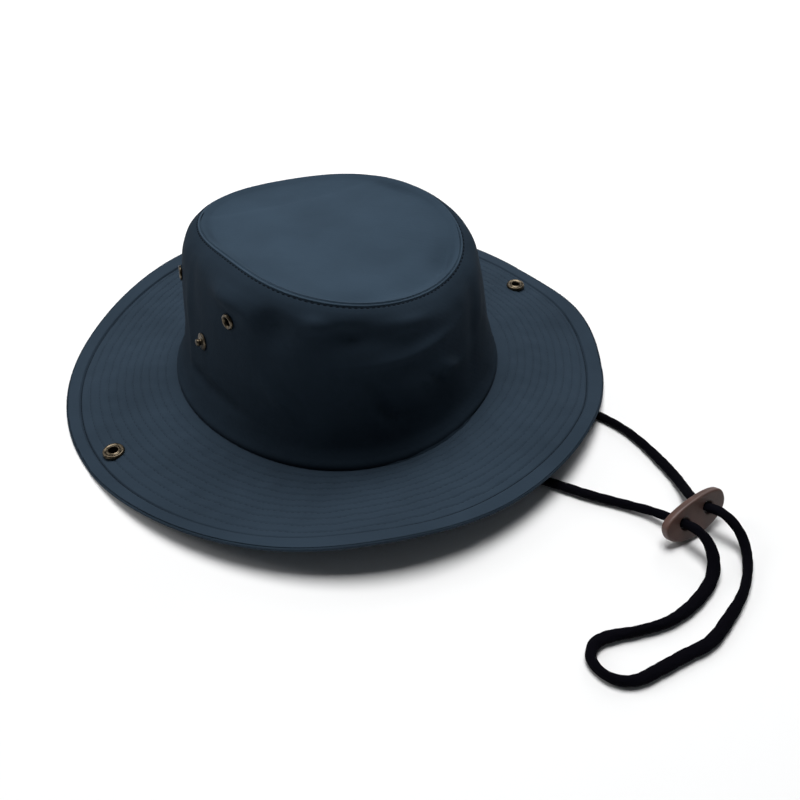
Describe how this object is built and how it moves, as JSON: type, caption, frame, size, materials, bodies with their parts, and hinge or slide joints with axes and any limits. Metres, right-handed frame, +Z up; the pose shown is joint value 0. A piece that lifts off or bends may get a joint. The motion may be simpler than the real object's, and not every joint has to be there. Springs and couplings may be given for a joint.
{
  "type": "bush hat",
  "caption": "Bush hat in stitched cloth: hollow crown with a dished tip, wide wavy brim, side snaps, vent eyelets, and a chin cord with a two-hole slider laid in front.",
  "frame": {"origin": "centre of the bounding box of everything but the loose cord and its slider, at the level the brim rests on", "axes": "+Z up out of the crown, -Y to the front of the hat, X through the two side snaps"},
  "size_m": [0.303, 0.4122, 0.0947],
  "materials": {
    "cloth": "matt blue-grey waxed twill",
    "metal": "antique, slightly worn",
    "cord": "matt black braid",
    "slider": "smooth dark brown"
  },
  "bodies": {
    "root": {"brim": "cloth", "crown_side": "cloth", "crown_tip": "cloth", "brim_snap_left": "metal", "brim_snap_right": "metal", "crown_stud_left": "metal", "crown_stud_right": "metal", "eyelet_left_front": "metal", "eyelet_left_back": "metal", "eyelet_right_front": "metal", "eyelet_right_back": "metal", "chin_cord": "cord", "cord_slider": "slider"}
  },
  "joints": []
}
